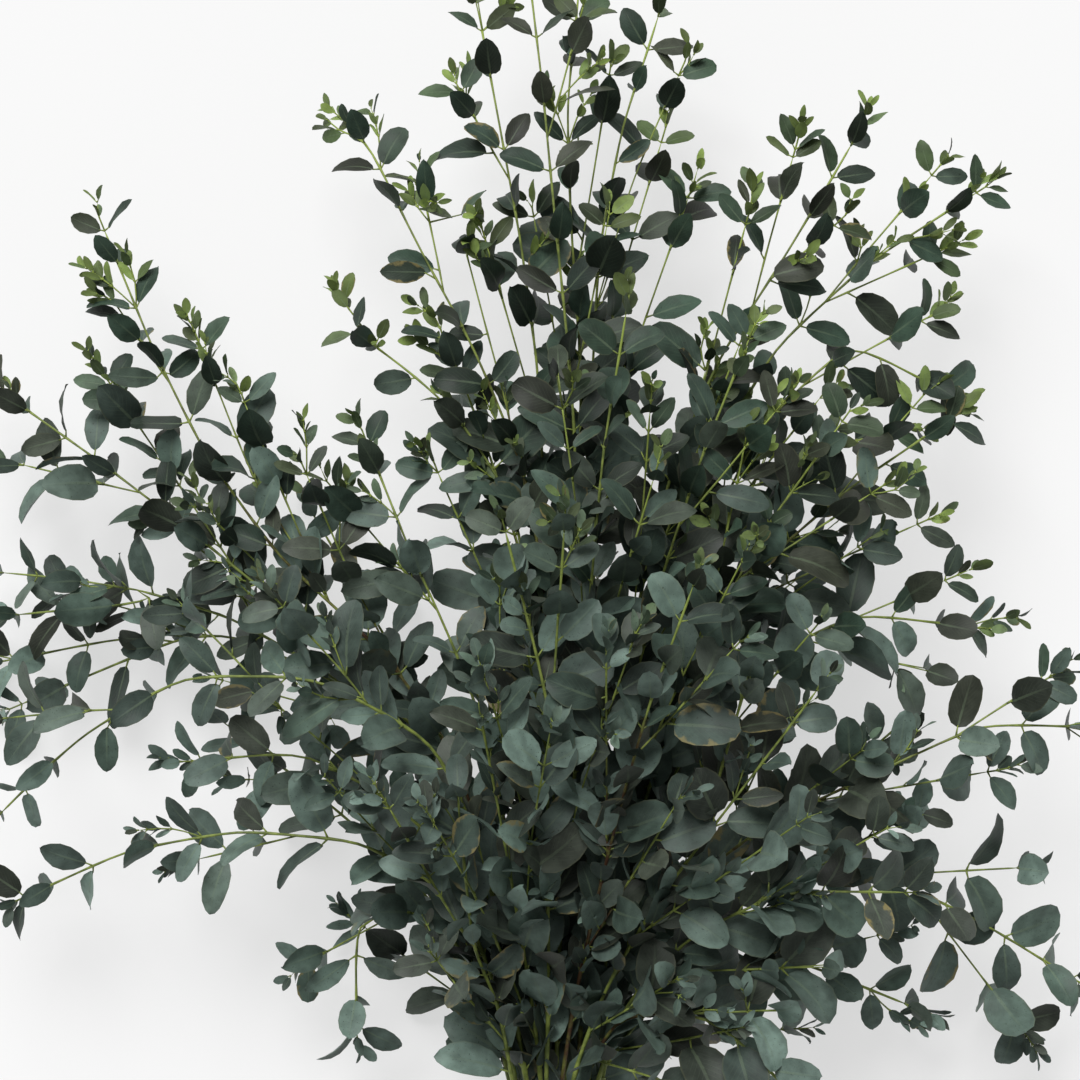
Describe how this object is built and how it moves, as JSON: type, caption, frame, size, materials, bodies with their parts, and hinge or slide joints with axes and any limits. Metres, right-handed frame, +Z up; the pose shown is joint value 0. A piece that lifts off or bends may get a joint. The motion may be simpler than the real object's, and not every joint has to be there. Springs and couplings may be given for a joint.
{
  "type": "bunch of eucalyptus branches",
  "caption": "Cut bunch of small-leaved eucalyptus branches with opposite oval leaves, fanning out from a tie round the bare stems, lying on its side.",
  "frame": {"origin": "under the middle of the bunch, on the surface that it lies on", "axes": "+Y from the cut ends to the tips, +Z up from the surface, +X to the right of the bunch seen from above with its tips away from the viewer"},
  "size_m": [0.6928, 0.8378, 0.2371],
  "materials": {
    "leaf": "matt, slightly waxy leaf surface, dark blue-green with a paler midrib",
    "stem": "smooth yellow-green young bark, red-brown where it is older",
    "tie": "matt tan rubber"
  },
  "bodies": {
    "root": {"centre_front_branch": "leaf", "centre_left_front_branch": "leaf", "centre_right_front_branch": "leaf", "right_front_branch": "leaf", "right_low_front_branch": "leaf", "low_right_front_branch": "leaf", "low_left_front_branch": "leaf", "left_arching_branch": "leaf", "lower_left_branch": "leaf", "left_hanging_branch": "leaf", "left_forked_branch": "leaf", "upper_front_branch": "leaf", "upper_right_front_branch": "leaf", "right_inner_branch": "leaf", "right_long_branch": "leaf", "right_lower_branch": "leaf", "right_bottom_branch": "leaf", "right_high_branch": "leaf", "right_far_branch": "leaf", "right_middle_branch": "leaf", "right_middle_low_branch": "leaf", "right_side_branch": "leaf", "top_centre_branch": "leaf", "top_left_branch": "leaf", "top_middle_branch": "leaf", "top_right_branch": "leaf", "upper_left_branch": "leaf", "upper_left_low_branch": "leaf", "inner_left_branch": "leaf", "left_high_branch": "leaf", "left_upper_branch": "leaf", "left_middle_branch": "leaf", "left_low_branch": "leaf", "under_left_branch": "leaf", "under_upper_left_branch": "leaf", "under_upper_right_branch": "leaf", "under_right_branch": "leaf", "tie_band": "tie"}
  },
  "joints": []
}
